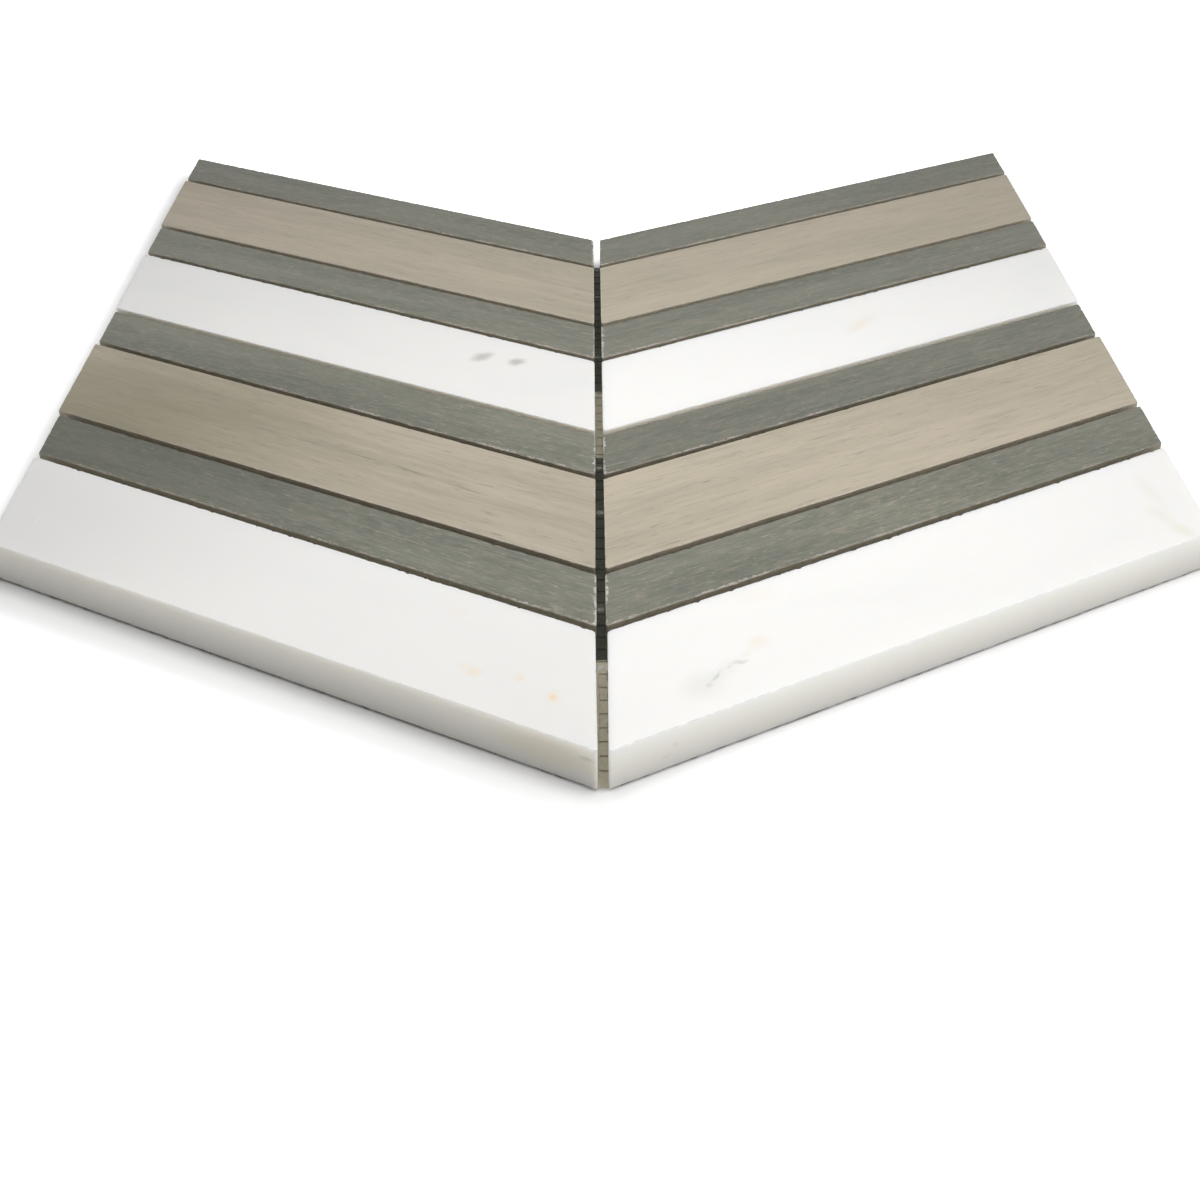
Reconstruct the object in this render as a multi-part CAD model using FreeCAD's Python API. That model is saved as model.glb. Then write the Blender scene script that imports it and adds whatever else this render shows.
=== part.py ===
"""Chevron mosaic wall tile: sawn stone strips in two mirrored, raked columns on one backing net.

The tile lies face up. X runs across the tile, Y along the spine of the chevron, away from its tip.
The origin is under the middle of the tile's bounding box, on the underside of the net.
"""

import FreeCAD
import Part
import math
import os

# Driving dimensions, in millimetres and degrees.
STONE_THICKNESS = 10.0
WIDE_STRIP = 38.0
NARROW_STRIP = 19.0
STRIP_JOINT = 2.0
SPINE_JOINT = 2.0
COLUMN_WIDTH = 148.0
RAKE = 30.0
ARRIS = 0.4
NET_THICKNESS = 0.5
NET_MARGIN = 0.5
NET_PITCH = 5.0
NET_THREAD = 0.9

# One repeat of the pattern, from the tip of the chevron upwards, and how often it is laid.
PATTERN = (
    ("white_strip", WIDE_STRIP),
    ("grey_strip", NARROW_STRIP),
    ("taupe_strip", WIDE_STRIP),
    ("grey_strip", NARROW_STRIP),
)
REPEATS = 2

# Lengths measured along the spine, across which every strip is raked.
RAKE_SLOPE = math.tan(math.radians(RAKE))
RAKE_STRETCH = 1.0 / math.cos(math.radians(RAKE))
JOINT_ALONG_SPINE = STRIP_JOINT * RAKE_STRETCH
COLUMN_RISE = COLUMN_WIDTH * RAKE_SLOPE
INNER_X = SPINE_JOINT / 2
OUTER_X = INNER_X + COLUMN_WIDTH
STRIPS_PER_COLUMN = len(PATTERN) * REPEATS
STONE_ALONG_SPINE = REPEATS * RAKE_STRETCH * sum(width for _, width in PATTERN)
SPINE_LENGTH = STONE_ALONG_SPINE + (STRIPS_PER_COLUMN - 1) * JOINT_ALONG_SPINE
TIP_Y = -(SPINE_LENGTH + COLUMN_RISE) / 2


def prism(corners, bottom, height):
    """A straight block on the given plan corners."""
    points = [FreeCAD.Vector(x, y, bottom) for x, y in corners]
    outline = Part.makePolygon(points + points[:1])
    return Part.Face(outline).extrude(FreeCAD.Vector(0, 0, height))


def strip(side, front, width):
    """One stone: a raked parallelogram with its top edges eased. front is its inner front corner's Y."""
    along = width * RAKE_STRETCH
    inner, outer = side * INNER_X, side * OUTER_X
    corners = [
        (inner, front),
        (outer, front + COLUMN_RISE),
        (outer, front + COLUMN_RISE + along),
        (inner, front + along),
    ]
    block = prism(corners, NET_THICKNESS, STONE_THICKNESS)
    top = NET_THICKNESS + STONE_THICKNESS
    top_edges = [edge for edge in block.Edges if edge.BoundBox.ZMin > top - ARRIS / 2]
    return block.makeChamfer(ARRIS, top_edges)


def column(side, side_name):
    """The strips of one column, by node name, counted for each kind from the tip upwards."""
    strips = {}
    laid = {kind: 0 for kind, _ in PATTERN}
    front = TIP_Y
    for kind, width in PATTERN * REPEATS:
        laid[kind] += 1
        strips[f"{kind}_{side_name}_{laid[kind]}"] = strip(side, front, width)
        front += width * RAKE_STRETCH + JOINT_ALONG_SPINE
    return strips


def backing_net():
    """The net under the whole tile, with its meshes open along the spine joint between the columns."""
    half_width = OUTER_X - NET_MARGIN
    margin_along = NET_MARGIN * RAKE_STRETCH
    front = TIP_Y - INNER_X * RAKE_SLOPE + margin_along
    back = TIP_Y + SPINE_LENGTH - INNER_X * RAKE_SLOPE - margin_along
    rise = half_width * RAKE_SLOPE
    corners = [
        (0, front),
        (half_width, front + rise),
        (half_width, back + rise),
        (0, back),
        (-half_width, back + rise),
        (-half_width, front + rise),
    ]
    net = prism(corners, 0, NET_THICKNESS)
    mesh_length = NET_PITCH - NET_THREAD
    meshes = int((back - front - NET_THREAD) // NET_PITCH)
    first = (front + back - meshes * NET_PITCH + NET_THREAD) / 2
    openings = []
    for row in range(meshes):
        near = first + row * NET_PITCH
        far = near + mesh_length
        opening = [(-INNER_X, near), (INNER_X, near), (INNER_X, far), (-INNER_X, far)]
        openings.append(prism(opening, -NET_THICKNESS, 3 * NET_THICKNESS))
    return net.cut(Part.makeCompound(openings))


def main():
    nodes = {"backing_net": backing_net()}
    nodes.update(column(-1, "left"))
    nodes.update(column(1, "right"))
    os.makedirs("parts", exist_ok=True)
    for name, shape in nodes.items():
        shape.exportStep(f"parts/{name}.step")
        print(name, len(shape.Solids), shape.isValid(), round(shape.Volume, 1))


main()
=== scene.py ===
"""Looks of the chevron mosaic tile: worn stone strips, the fibre net under them, and the studio.

Lengths are in millimetres until a mesh, lamp or camera is made, and the frame is the part's own:
X across the tile, Y along the spine away from the tip, Z up.
"""

import math
from typing import NamedTuple

import bpy
import numpy as np
from mathutils import Matrix, Vector

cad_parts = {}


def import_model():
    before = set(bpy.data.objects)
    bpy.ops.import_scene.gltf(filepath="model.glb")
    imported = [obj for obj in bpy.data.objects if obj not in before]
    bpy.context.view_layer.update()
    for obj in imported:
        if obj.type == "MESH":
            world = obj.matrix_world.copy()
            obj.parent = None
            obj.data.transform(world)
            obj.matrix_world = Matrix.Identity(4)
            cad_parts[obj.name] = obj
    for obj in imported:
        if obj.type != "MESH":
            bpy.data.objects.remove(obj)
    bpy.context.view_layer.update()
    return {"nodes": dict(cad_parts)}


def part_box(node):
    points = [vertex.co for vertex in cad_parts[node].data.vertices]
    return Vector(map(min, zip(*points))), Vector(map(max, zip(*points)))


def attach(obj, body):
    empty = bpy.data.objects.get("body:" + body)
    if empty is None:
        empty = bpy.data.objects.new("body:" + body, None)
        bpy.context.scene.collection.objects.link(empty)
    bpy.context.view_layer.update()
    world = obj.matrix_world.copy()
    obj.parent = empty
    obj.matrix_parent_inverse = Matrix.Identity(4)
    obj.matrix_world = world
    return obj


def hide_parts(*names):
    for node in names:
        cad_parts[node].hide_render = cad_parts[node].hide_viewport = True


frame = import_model()

MM = 0.001
SEED = 4107
NET_SEED = 900

# The strip at the tip of the right column, and the one behind it.
TIP_STRIP = "white_strip_right_1"
NEXT_STRIP = "grey_strip_right_1"

# How each kind of strip is finished: its material slot, and the wear of its top edges.
# easing is the plain worn edge, ragged its unevenness, and chips come at a rate for each millimetre of edge.
# The corners are in the order inner front, outer front, outer back, inner back.
FINISHES = {
    "white_strip": {
        "slot": "white_marble",
        "easing": 0.08,
        "front_easing": 0.17,
        "ragged": 0.20,
        "chip_rate": 0.25,
        "chip_depth": (0.08, 0.50),
        "corner_radii": (0.45, 0.8, 0.8, 1.8),
        "side_wear": {"front": 0.06, "outer": 0.5, "back": 0.9, "inner": 0.4},
    },
    "grey_strip": {
        "slot": "grey_stone",
        "easing": 0.14,
        "front_easing": 0.18,
        "ragged": 0.12,
        "chip_rate": 0.30,
        "chip_depth": (0.10, 0.45),
        "corner_radii": (0.5, 0.5, 0.5, 0.5),
        "side_wear": {"front": 0.8, "outer": 0.8, "back": 0.7, "inner": 1.2},
    },
    "taupe_strip": {
        "slot": "taupe_stone",
        "easing": 0.10,
        "front_easing": 0.12,
        "ragged": 0.08,
        "chip_rate": 0.12,
        "chip_depth": (0.08, 0.35),
        "corner_radii": (0.5, 0.5, 0.5, 0.5),
        "side_wear": {"front": 0.6, "outer": 0.8, "back": 0.6, "inner": 0.8},
    },
}
SIDES = ("front", "outer", "back", "inner")
OUTLINE_STEP = 0.30
CORNER_STEPS = 6
CORNER_ROOM = 0.5
MOST_OF_ROOM = 0.85
CHIP_HALF_WIDTH = (0.25, 1.3)
CHIP_SMALLNESS = 2.5
BOTTOM_EASING = 0.15

# How a stone's edges and walls vary along its outline: middle value, swing either way, wavelength.
EDGE_RAGGED = (0.5, 0.5, 0.7)
EDGE_PATCHES = (0.6, 0.6, 9.0)
LEAST_PATCH = 0.15
EDGE_DROP = (0.75, 0.25, 1.1)
EDGE_BOW = (0.5, 0.2, 0.9)
WALL_SWAY = (0.04, 0.03, 35.0)
WALL_SAW = (0.0, 0.01, 2.0)
FOOT_SHARE = (1.0, 0.6, 2.5)

# How far some strips stop short of the tile's outer edge, and how far the front and back corners of some
# stop short of the spine.
END_GAPS = {
    "white_strip_left_1": 0.3,
    "grey_strip_left_1": 0.9,
    "taupe_strip_left_1": 0.0,
    "grey_strip_left_2": 0.7,
    "white_strip_left_2": 0.4,
    "white_strip_right_1": 0.0,
    "grey_strip_right_1": 0.0,
    "taupe_strip_right_1": 0.1,
    "grey_strip_right_2": 0.8,
}
USUAL_END_GAP = (0.1, 0.7)
SPINE_GAPS = {
    "white_strip_left_1": (0.0, 0.28),
    "white_strip_right_1": (0.16, 0.35),
    "taupe_strip_left_1": (0.15, 0.0),
    "taupe_strip_right_1": (0.12, 0.0),
}
USUAL_SPINE_GAP = (0.0, 0.0)

# How bright some stones are, and how far apart in the grain the stones are cut, at most.
TONES = {
    "white_strip_left_1": 0.912,
    "white_strip_left_2": 0.93,
    "white_strip_right_1": 1.0,
    "white_strip_right_2": 1.02,
    "grey_strip_left_1": 1.02,
    "grey_strip_left_2": 1.04,
    "grey_strip_right_1": 1.0,
    "grey_strip_right_2": 0.90,
    "taupe_strip_left_1": 0.94,
    "taupe_strip_right_1": 1.03,
}
USUAL_TONE = (0.96, 1.03)
GRAIN_REACH = 900

# The net: threads both ways at one pitch, and how unevenly they end.
NET_PITCH = 5.0
FIRST_WEFT = 6.8
THREAD_WIDTH = 0.55
THREAD_HEIGHT = 0.22
THREAD_SIDES = 6
THREAD_STEP = 2.5
THREAD_WANDER = 0.10
WEFT_LIFT = 0.8
WARP_FRONT = (0.0, 0.9)
WARP_BACK = (-0.5, 0.6)
WEFT_START = (-0.3, 0.3)

# The beds of adhesive under the stones, and how far inside a stone's edge each ends.
BED_RADIUS = 2.0
BED_STEP = 1.5
BED_MARGIN = 0.35
BED_SWING = 0.25

# The film of adhesive in the joints, the fillet along one side of the spine, and the beads in the spine.
FILM_LAP = 0.6
FILM_BOTTOM = 0.05
FILM_START = 1.3
FILM_END = 0.8
FILLET_PLACE = -0.95
FILLET_WIDTH = 0.8
FILLET_HEIGHT = 0.36
BEAD_HALF_LENGTH = (0.8, 1.2)
BEAD_LUMPS = (0.7, 1.1)
BEAD_HEIGHT = 0.20
BEAD_SHIFT = 0.7
BEAD_SIDES = 14
BEAD_RINGS = 4

# Where the film in the spine has painted light, beside the white stones, rather than painted shade: how far
# behind a strip's front and back corners it starts and ends.
FILM_PAINTED_LIGHT_ENDS = {TIP_STRIP: (FILM_START, 3.6), "white_strip_right_2": (4.0, 0.6)}

# The camera, fitted to the photograph's edges, and its picture's width.
CAMERA_PLACE = (-1.03, -470.80, 232.18)
CAMERA_PITCH = math.radians(32.705)
CAMERA_YAW = math.radians(0.135)
CAMERA_ROLL = math.radians(-0.386)
CAMERA_NEAREST = 10.0
SENSOR_WIDTH = 36.0
CAMERA_LENS = 53.665

# The lamps: soft oblongs, each with its place, what it looks at, its two lengths and its power in watts.
LAMPS = {
    "key": {"place": (0, -80, 360), "target": (0, -80, 0), "size": (250, 250), "power": 0.94},
    "side": {"place": (700, -120, 700), "target": (0, -100, 0), "size": (500, 500), "power": 2.4},
    "fill": {"place": (400, -600, 250), "target": (50, -150, 0), "size": (400, 300), "power": 0.6},
}


# Places in the frame

# How near two places are to count as one.
TOUCH = 0.01


def box_mm(node):
    return [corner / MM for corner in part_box(node)]


def vertices_mm(node):
    return np.array([vertex.co for vertex in frame["nodes"][node].data.vertices]) / MM


def plan_corners(node):
    """A strip's corners seen from above, in order: inner front, outer front, outer back, inner back."""
    points = vertices_mm(node)
    underside = points[points[:, 2] < points[:, 2].min() + TOUCH]
    corners = np.unique(np.round(underside[:, :2], 3), axis=0)
    by_reach = corners[np.argsort(np.abs(corners[:, 0]))]
    inner = by_reach[:2]
    outer = by_reach[2:]
    inner = inner[np.argsort(inner[:, 1])]
    outer = outer[np.argsort(outer[:, 1])]
    return np.array([inner[0], outer[0], outer[1], inner[1]])


def column_side(corners):
    """1 for a strip in the right column and -1 for one in the left."""
    return 1 if corners[:, 0].mean() > 0 else -1


def column_strips(side):
    """The strips of one column, from the tip backwards."""
    strips = [node for node in frame["nodes"] if f"_strip_{side}_" in node]
    return sorted(strips, key=lambda node: plan_corners(node)[0, 1])


def half_joint():
    """Half the gap between two strips, along the spine."""
    return (plan_corners(NEXT_STRIP)[0, 1] - plan_corners(TIP_STRIP)[3, 1]) / 2


def net_outline():
    """The net's half width, where its front and back tips are along Y, and the slope of its edges."""
    low, high = box_mm("backing_net")
    points = vertices_mm("backing_net")
    half_width = high[0]
    edge = points[np.abs(points[:, 0]) > half_width - TOUCH]
    tip = low[1]
    rise = edge[:, 1].min() - tip
    back_tip = edge[:, 1].max() - rise
    return half_width, tip, back_tip, rise / half_width


strip_low, strip_high = box_mm(TIP_STRIP)
TOP = strip_high[2]
STONE_HEIGHT = strip_high[2] - strip_low[2]
net_low, net_high = box_mm("backing_net")
NET_TOP = net_high[2]
WARP_LEVEL = net_low[2] + THREAD_HEIGHT / 2
WEFT_LEVEL = WARP_LEVEL + WEFT_LIFT * THREAD_HEIGHT
FILM_LEVEL = net_low[2] + FILM_BOTTOM
FILM_TOP = net_low[2] + THREAD_HEIGHT


# Shapes

def unit(vector):
    return vector / np.linalg.norm(vector)


def rounded_outline(corners, radii, step):
    """A polygon with round corners, anticlockwise: points, normals, sides, and the room for an inset."""
    count = len(corners)
    ways = [unit(corners[(k + 1) % count] - corners[k]) for k in range(count)]
    outward = [np.array([way[1], -way[0]]) for way in ways]
    turns = [math.acos(np.clip(np.dot(ways[k - 1], ways[k]), -1, 1)) for k in range(count)]
    setbacks = [radius * math.tan(turn / 2) for radius, turn in zip(radii, turns)]
    points = []
    normals = []
    sides = []
    rooms = []
    for k in range(count):
        after = (k + 1) % count
        centre = corners[k] - ways[k - 1] * setbacks[k] - outward[k - 1] * radii[k]
        start = math.atan2(outward[k - 1][1], outward[k - 1][0])
        for angle in np.linspace(start, start + turns[k], CORNER_STEPS):
            normal = np.array([math.cos(angle), math.sin(angle)])
            points.append(centre + normal * radii[k])
            normals.append(normal)
            sides.append(k if angle > start + turns[k] / 2 else (k - 1) % count)
            rooms.append(radii[k])
        begin = corners[k] + ways[k] * setbacks[k]
        end = corners[after] - ways[k] * setbacks[after]
        length = np.linalg.norm(end - begin)
        pieces = max(2, round(length / step))
        for share in np.arange(1, pieces) / pieces:
            points.append(begin + (end - begin) * share)
            normals.append(outward[k])
            sides.append(k)
            room_begin = radii[k] + CORNER_ROOM * length * share
            room_end = radii[after] + CORNER_ROOM * length * (1 - share)
            rooms.append(min(room_begin, room_end))
    return np.array(points), np.array(normals), np.array(sides), np.array(rooms)


def loop_noise(rng, running, total, wavelength):
    """Seeded noise from -1 to 1 along a closed line."""
    knots = max(4, round(total / wavelength))
    values = rng.uniform(-1, 1, knots)
    return np.interp(running / total * knots, np.arange(knots + 1), np.append(values, values[0]))


def loop_chips(rng, running, total, rate, depths):
    """How deep the chips are along a closed line. Most are small."""
    depth = np.zeros_like(running)
    for _ in range(round(total * rate)):
        centre = rng.uniform(0, total)
        half_width = rng.uniform(*CHIP_HALF_WIDTH)
        deepest = depths[0] + (depths[1] - depths[0]) * rng.uniform() ** CHIP_SMALLNESS
        away = np.abs((running - centre + total / 2) % total - total / 2)
        depth = np.maximum(depth, deepest * np.clip(1 - (away / half_width) ** 2, 0, 1))
    return depth


def ring_walls(count, rings):
    """The faces between closed rings of points, one ring after the other."""
    here = np.arange(count)
    after = (here + 1) % count
    faces = []
    for ring in range(rings - 1):
        base = ring * count
        above = base + count
        faces.extend(np.column_stack([base + here, base + after, above + after, above + here]).tolist())
    return faces


def closed_rings(count, rings, mirror=1):
    """The faces of a closed form made of rings, flat at its first and last ring, for either column."""
    here = np.arange(count)
    faces = ring_walls(count, rings)
    faces.append(here[::-1].tolist())
    faces.append((here + (rings - 1) * count).tolist())
    return [face[::-1] for face in faces] if mirror < 0 else faces


def slab(plan, bottom, top):
    """A flat sheet over its plan, which runs anticlockwise."""
    vertices = [(x, y, bottom) for x, y in plan] + [(x, y, top) for x, y in plan]
    return np.array(vertices), closed_rings(len(plan), 2)


def new_object(name, vertices, faces):
    """A mesh object from millimetre vertices, in the part's frame."""
    mesh = bpy.data.meshes.new(name)
    mesh.from_pydata((np.asarray(vertices) * MM).tolist(), [], faces)
    mesh.validate()
    piece = bpy.data.objects.new(name, mesh)
    bpy.context.scene.collection.objects.link(piece)
    return piece


def store(piece, name, kind, values):
    """Keeps one value for each vertex on a mesh, where a material reads it."""
    attribute = piece.data.attributes.new(name, kind, "POINT")
    field = "vector" if kind == "FLOAT_VECTOR" else "value"
    attribute.data.foreach_set(field, np.asarray(values, np.float32).ravel())


# The stones

def finish_of(node):
    """How a strip's kind is finished, by the first words of its name."""
    return FINISHES[node[: node.index("_strip") + len("_strip")]]


def drawn_back(node, corners, rng):
    """A right-hand strip's corners, drawn back from the tile's outer edge and from the spine."""
    along = unit(corners[1] - corners[0])
    end_gap = END_GAPS.get(node, rng.uniform(*USUAL_END_GAP))
    front_gap, back_gap = SPINE_GAPS.get(node, USUAL_SPINE_GAP)
    gaps = np.array([front_gap, -end_gap, -end_gap, back_gap])
    return corners + along * gaps[:, None] / along[0]


def stone_rings(finish, corners, bottom, top, rng):
    """Rings of points round a stone with worn, chipped edges, from its foot to its top."""
    outline, normals, sides, rooms = rounded_outline(corners, finish["corner_radii"], OUTLINE_STEP)
    steps = np.linalg.norm(np.roll(outline, -1, axis=0) - outline, axis=1)
    running = np.concatenate([[0], np.cumsum(steps)[:-1]])
    total = steps.sum()

    def varied(middle, swing, wavelength):
        return middle + swing * loop_noise(rng, running, total, wavelength)

    wear = np.array([finish["side_wear"][SIDES[side]] for side in sides])
    rough = varied(*EDGE_RAGGED)
    patches = np.clip(varied(*EDGE_PATCHES), LEAST_PATCH, 1)
    chips = loop_chips(rng, running, total, finish["chip_rate"], finish["chip_depth"])
    easing = np.where(sides == SIDES.index("front"), finish["front_easing"], finish["easing"])
    inset = easing + wear * (finish["ragged"] * rough * patches + chips)
    inset = np.minimum(inset, MOST_OF_ROOM * rooms)
    drop = inset * varied(*EDGE_DROP)
    bow = varied(*EDGE_BOW)
    wall = varied(*WALL_SWAY) + varied(*WALL_SAW)
    foot = BOTTOM_EASING * varied(*FOOT_SHARE)
    rings = (
        (wall + foot, np.full_like(foot, bottom)),
        (wall, bottom + foot),
        (wall, top - drop),
        (wall + bow * (inset - wall).clip(0), top - (1 - bow) * drop),
        (np.maximum(inset, wall), np.full_like(drop, top)),
    )
    return [np.column_stack([outline - normals * depth[:, None], height]) for depth, height in rings]


def stone_strip(node, number):
    """One stone with worn, chipped edges, in the place of its CAD node."""
    rng = np.random.default_rng([SEED, number])
    finish = finish_of(node)
    low, high = box_mm(node)
    corners = plan_corners(node)
    mirror = column_side(corners)
    corners = corners * (mirror, 1)
    rings = stone_rings(finish, drawn_back(node, corners, rng), low[2], high[2], rng)
    vertices = np.concatenate(rings)
    along = unit(corners[1] - corners[0])
    across = np.array([-along[1], along[0]])
    flat = vertices[:, :2] - corners[0]
    grain = np.column_stack([flat @ along, flat @ across, vertices[:, 2]]) + rng.uniform(0, GRAIN_REACH, 3)
    place = np.column_stack([vertices[:, 0] - corners[0, 0], flat @ across, vertices[:, 2] - low[2]])
    tone = TONES.get(node, rng.uniform(*USUAL_TONE))
    # The first strip of each kind has plain walls. The others' walls are darker where they face a joint,
    # which shows on the white stones.
    joint_darkening = 0.0 if node.endswith("_1") else 1.0
    vertices[:, 0] *= mirror
    piece = new_object(node + "_stone", vertices, closed_rings(len(rings[0]), len(rings), mirror))
    store(piece, "grain", "FLOAT_VECTOR", grain)
    store(piece, "place", "FLOAT_VECTOR", place)
    store(piece, "tone", "FLOAT", np.full(len(vertices), tone))
    store(piece, "joint_darkening", "FLOAT", np.full(len(vertices), joint_darkening))
    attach(piece, "root")
    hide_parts(node)
    return piece


# Materials

# The plain names of a surface's inputs.
SOCKETS = {
    "colour": "Base Color",
    "roughness": "Roughness",
    "normal": "Normal",
    "specular": "Specular IOR Level",
    "subsurface": "Subsurface Weight",
    "subsurface_radius": "Subsurface Radius",
    "subsurface_scale": "Subsurface Scale",
}

# The values between which most of a noise lies.
NOISE_SPAN = (0.3, 0.7)


class Shader:
    """The nodes of a material or world. Most calls add nodes and return the socket with the result."""

    def __init__(self, owner, surface="Principled BSDF"):
        owner.use_nodes = True
        self.owner = owner
        self.tree = owner.node_tree
        self.surface = self.tree.nodes[surface]

    def add(self, kind, inputs, **settings):
        node = self.tree.nodes.new(kind)
        for key, value in settings.items():
            setattr(node, key, value)
        for key, value in inputs.items():
            self.put(node.inputs[key], value)
        return node

    def put(self, socket, value):
        if isinstance(value, bpy.types.NodeSocket):
            self.tree.links.new(value, socket)
        else:
            socket.default_value = value

    def stored(self, name, output="Vector"):
        return self.add("ShaderNodeAttribute", {}, attribute_name=name).outputs[output]

    def stretched(self, vector, scale):
        return self.add("ShaderNodeVectorMath", {0: vector, 1: scale}, operation="MULTIPLY").outputs[0]

    def moved(self, vector, offset):
        return self.add("ShaderNodeVectorMath", {0: vector, 1: offset}, operation="ADD").outputs[0]

    def part(self, vector, axis):
        return self.add("ShaderNodeSeparateXYZ", {0: vector}).outputs[axis]

    def length(self, vector):
        return self.add("ShaderNodeVectorMath", {0: vector}, operation="LENGTH").outputs["Value"]

    def joined(self, first, second):
        return self.add("ShaderNodeCombineXYZ", {0: first, 1: second}).outputs[0]

    def noise(self, vector, detail, roughness=0.5, distortion=0.0, output="Fac"):
        inputs = {"Vector": vector, "Scale": 1.0, "Detail": detail}
        inputs.update({"Roughness": roughness, "Distortion": distortion})
        return self.add("ShaderNodeTexNoise", inputs).outputs[output]

    def grain(self, scale, detail, roughness=0.5, distortion=0.0, shift=None):
        """Noise in a stone's own grain: along the strip, across it and up."""
        place = self.stored("grain")
        if shift:
            place = self.moved(place, shift)
        return self.noise(self.stretched(place, scale), detail, roughness, distortion)

    def step(self, value, start, end, low=0.0, high=1.0):
        inputs = {"Value": value, "From Min": start, "From Max": end, "To Min": low, "To Max": high}
        return self.add("ShaderNodeMapRange", inputs, interpolation_type="SMOOTHSTEP").outputs[0]

    def reckoned(self, operation, first, second=0.0):
        return self.add("ShaderNodeMath", {0: first, 1: second}, operation=operation).outputs[0]

    def plus(self, first, second):
        return self.reckoned("ADD", first, second)

    def minus(self, first, second):
        return self.reckoned("SUBTRACT", first, second)

    def times(self, first, second):
        return self.reckoned("MULTIPLY", first, second)

    def larger(self, first, second):
        return self.reckoned("MAXIMUM", first, second)

    def size(self, value):
        return self.reckoned("ABSOLUTE", value)

    def mixed(self, share, first, second, blend="MIX"):
        inputs = {0: share, 6: first, 7: second}
        return self.add("ShaderNodeMix", inputs, data_type="RGBA", blend_type=blend).outputs[2]

    def layer(self, under, over, pattern, start, full, share=1.0):
        """Lays a colour over another where a pattern goes from start to full, up to a share."""
        return self.mixed(self.step(pattern, start, full, 0.0, share), under, over)

    def toned(self, colour, tone):
        return self.add("ShaderNodeVectorMath", {0: colour, "Scale": tone}, operation="SCALE").outputs[0]

    def bump(self, height, distance, strength):
        inputs = {"Height": height, "Distance": distance, "Strength": strength}
        return self.add("ShaderNodeBump", inputs).outputs[0]

    def seen(self):
        """1 for what the eye sees, straight, in a reflection or through glass, and 0 for a light."""
        path = self.add("ShaderNodeLightPath", {}).outputs
        either = self.larger(path["Is Camera Ray"], path["Is Glossy Ray"])
        return self.larger(either, path["Is Transmission Ray"])

    def finish(self, **inputs):
        """Sets the surface's inputs by their plain names, and returns the material."""
        for key, value in inputs.items():
            self.put(self.surface.inputs[SOCKETS[key]], value)
        return self.owner


def rgb(red, green, blue):
    return (red, green, blue, 1.0)


def new_shader(name):
    return Shader(bpy.data.materials.new(name))


def face_normal(shader, axis):
    return shader.part(shader.add("ShaderNodeNewGeometry", {}).outputs["True Normal"], axis)


def upward(shader):
    """1 where a surface faces up and 0 on a wall."""
    return shader.step(face_normal(shader, 2), start=0.35, end=0.95)


def joint_wall(shader):
    """1 on a wall that faces a joint and 0 on the ends of a strip."""
    return shader.step(shader.size(face_normal(shader, 0)), start=0.90, end=0.65)


def sawn_wall(shader, end_colour, lit_joint_colour):
    """The colour of a dark stone's sawn walls: uneven, and paler in the joints, partly from the sawn face
    itself and partly painted light.
    """
    saw = shader.grain((0.5, 0.5, 1.6), detail=4.0, roughness=0.65)
    # Walls facing a joint are paler: the sawn face's own paleness together with painted light.
    colour = shader.mixed(joint_wall(shader), end_colour, lit_joint_colour)
    return shader.toned(colour, shader.step(saw, *NOISE_SPAN, low=0.84, high=1.16))


def position_mm(shader):
    place = shader.add("ShaderNodeTexCoord", {}).outputs["Object"]
    return shader.stretched(place, (1 / MM, 1 / MM, 1 / MM))


def wobbly(shader, position, fineness, detail, reach):
    """A place that noise moves about, so that the marks laid there get uneven edges."""
    wobble = shader.noise(shader.stretched(position, (fineness,) * 3), detail, output="Color")
    return shader.moved(position, shader.stretched(shader.moved(wobble, (-0.5, -0.5, -0.5)), reach))


class Spot(NamedTuple):
    """A soft oval mark: its place on the tile, half lengths, strength, colour and its long axis's angle.

    It is at its full strength as far from its middle as the core, a share of its size.
    """

    at: tuple
    size: tuple
    share: float
    colour: tuple
    angle: float = 0
    core: float = 0.1
    blend: str = "MIX"


def shade(at, size, colour, **more):
    """A mark that darkens or lightens what it lies on."""
    return Spot(at, size, 1.0, colour, blend="MULTIPLY", **more)


def marked(shader, colour, place, spots):
    """Lays marks over a colour, one after the other."""
    for spot in spots:
        away = shader.moved(place, tuple(-value for value in spot.at))
        turn = (0, 0, -math.radians(spot.angle))
        turned = shader.add("ShaderNodeMapping", {"Vector": away, "Rotation": turn}).outputs[0]
        distance = shader.length(shader.stretched(turned, tuple(1 / value for value in spot.size)))
        share = shader.step(distance, start=1.0, end=spot.core, high=spot.share)
        colour = shader.mixed(share, colour, spot.colour, spot.blend)
    return colour


# White marble

MARBLE_WHITE = rgb(0.885, 0.876, 0.852)
MARBLE_CLOUD = rgb(0.82, 0.82, 0.81)
MARBLE_WALL = rgb(0.80, 0.775, 0.695)
MARBLE_SHADE = rgb(0.905, 0.905, 0.91)
IRON = rgb(0.92, 0.66, 0.34)
VEIN = rgb(0.46, 0.46, 0.43)
HALO = rgb(0.70, 0.70, 0.68)
TAN = rgb(0.83, 0.73, 0.575)
BEIGE = rgb(0.78, 0.725, 0.60)
SMUDGE = rgb(0.35, 0.27, 0.20)
SCRATCH = rgb(0.97, 0.96, 0.94)
WALL_STAIN = rgb(0.90, 0.83, 0.70)
JOINT_WALL_DARKENING = rgb(0.88, 0.87, 0.87)

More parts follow.
